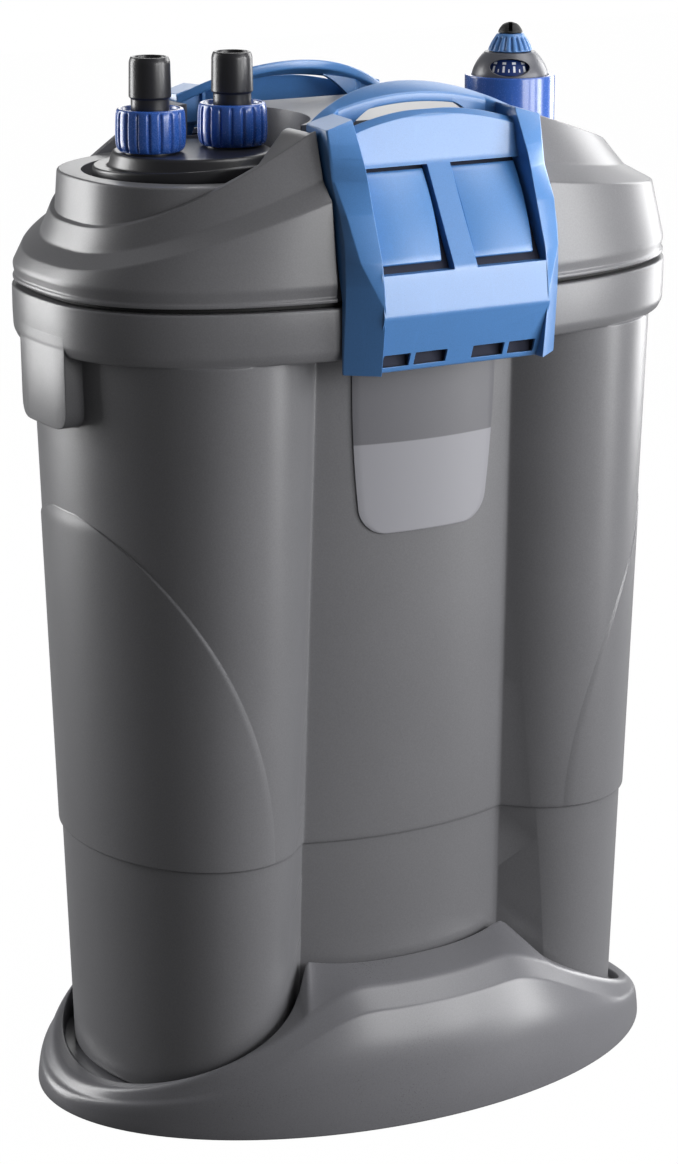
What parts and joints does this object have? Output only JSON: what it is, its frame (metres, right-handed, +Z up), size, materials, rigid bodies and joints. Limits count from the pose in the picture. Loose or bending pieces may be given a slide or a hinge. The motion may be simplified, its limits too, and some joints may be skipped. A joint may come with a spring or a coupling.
{
  "type": "canister filter",
  "caption": "External aquarium canister filter with two over-centre latches, hose connector and built-in heater.",
  "frame": {"origin": "centre of the foot, on the floor", "axes": "+Z up, +X to the heater's end, -Y to the front with the label plate"},
  "size_m": [0.314, 0.211, 0.4848],
  "materials": {
    "body": "fine grained",
    "foot": "satin",
    "plate": "satin, two greys",
    "latch": "satin",
    "latch_insert": "satin",
    "nut": "gloss",
    "black": "gloss",
    "knob": "satin",
    "head": "satin",
    "glass": "clear",
    "rubber": "matte",
    "foam_coarse": "open cell foam",
    "foam_fine": "open cell foam",
    "basket": "moulded",
    "pump": "moulded",
    "ceramic": "polished ceramic",
    "steel": "bright"
  },
  "bodies": {
    "filter": {"foot_tray": "foot", "foot_pad_1": "rubber", "foot_pad_2": "rubber", "foot_pad_3": "rubber", "foot_pad_4": "rubber", "canister_shell": "body", "label_plate": "plate", "rim_seal": "rubber", "lid_shell": "body", "front_hinge_pin_a": "steel", "front_hinge_pin_b": "steel", "rear_hinge_pin_a": "steel", "rear_hinge_pin_b": "steel", "heater_sleeve": "nut", "prefilter_core": "basket", "prefilter_foam_1": "foam_coarse", "prefilter_foam_2": "foam_coarse", "prefilter_foam_3": "foam_coarse", "media_basket_1": "basket", "media_block_1": "foam_fine", "media_basket_2": "basket", "media_block_2": "foam_fine", "media_basket_3": "basket", "media_block_3": "foam_fine", "pump_motor": "pump", "pump_cover": "pump", "impeller_shaft": "ceramic", "shaft_bush_top": "rubber", "shaft_bush_bottom": "rubber"},
    "front_latch": {"front_latch_frame": "latch", "front_latch_insert": "latch_insert"},
    "rear_latch": {"rear_latch_frame": "latch", "rear_latch_insert": "latch_insert"},
    "connector": {"connector_block": "black", "connector_seal": "rubber", "left_nozzle_gasket": "rubber", "left_nozzle": "black", "right_nozzle_gasket": "rubber", "right_nozzle": "black"},
    "left_nut": {"left_union_nut": "nut"},
    "right_nut": {"right_union_nut": "nut"},
    "heater": {"heater_head": "head", "cord_gland": "rubber", "heater_glass": "glass"},
    "temperature_dial": {"temperature_knob": "knob", "temperature_scale": "nut"},
    "rotor": {"impeller": "nut"}
  },
  "joints": [
    {"name": "front_latch_hinge", "type": "hinge", "parent": "filter", "child": "front_latch", "pos_m": [0, -0.066, 0.4463], "axis": [-1, 0, 0], "range_deg": [0, 22]},
    {"name": "rear_latch_hinge", "type": "hinge", "parent": "filter", "child": "rear_latch", "pos_m": [0, 0.066, 0.4463], "axis": [1, 0, 0], "range_deg": [0, 22]},
    {"name": "connector_turn", "type": "hinge", "parent": "filter", "child": "connector", "pos_m": [-0.078, 0, 0.43], "axis": [0, 0, 1], "range_deg": [0, 30]},
    {"name": "left_nut_turn", "type": "hinge", "parent": "connector", "child": "left_nut", "pos_m": [-0.09835, 0, 0.448], "axis": [0, 0, 1], "continuous": true},
    {"name": "right_nut_turn", "type": "hinge", "parent": "connector", "child": "right_nut", "pos_m": [-0.05765, 0, 0.448], "axis": [0, 0, 1], "continuous": true},
    {"name": "heater_lift", "type": "slide", "parent": "filter", "child": "heater", "axis": [0, 0, 1], "range_m": [0, 0.3]},
    {"name": "temperature_knob_turn", "type": "hinge", "parent": "heater", "child": "temperature_dial", "pos_m": [0.0884, 0, 0.475], "axis": [0, 0, 1], "range_deg": [-110, 110]},
    {"name": "impeller_spin", "type": "hinge", "parent": "filter", "child": "rotor", "pos_m": [0.014, 0, 0.4], "axis": [0, 0, 1], "continuous": true}
  ]
}
